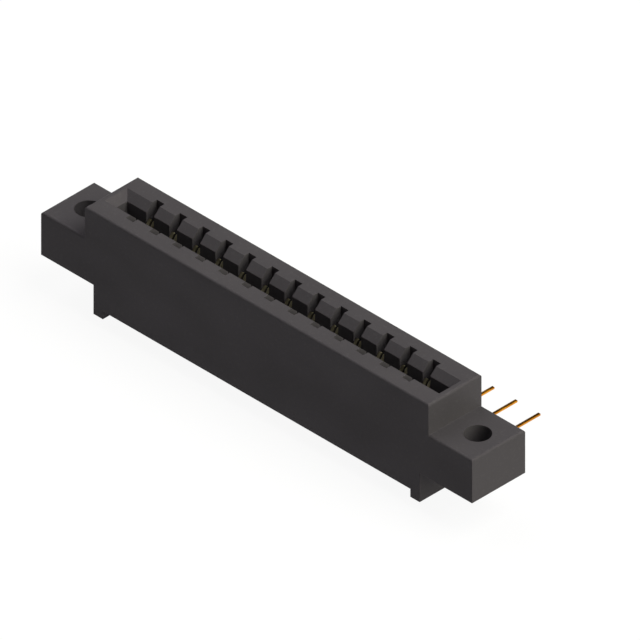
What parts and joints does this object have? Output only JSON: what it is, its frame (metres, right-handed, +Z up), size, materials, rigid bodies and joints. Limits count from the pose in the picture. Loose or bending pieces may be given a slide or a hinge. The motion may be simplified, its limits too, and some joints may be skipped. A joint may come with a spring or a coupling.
{
  "type": "card edge connector",
  "caption": "Straight card edge connector with a lead-in slot, forked spring contacts along one wall, long right-angled solder tails and a screw ear at each end.",
  "frame": {"origin": "midway between the two ear holes, on the underside of the ears", "axes": "+X along the contact row, +Y towards the back, where the solder tails leave, +Z up through the ear holes to the mouth of the card slot"},
  "size_m": [0.0742, 0.0251, 0.0168],
  "materials": {
    "insulator": "satin moulded",
    "contact": "gold plated"
  },
  "bodies": {
    "root": {"insulator": "insulator", "contact_01": "contact", "contact_02": "contact", "contact_03": "contact", "contact_04": "contact", "contact_05": "contact", "contact_06": "contact", "contact_07": "contact", "contact_08": "contact", "contact_09": "contact", "contact_10": "contact", "contact_11": "contact", "contact_12": "contact", "contact_13": "contact"}
  },
  "joints": []
}
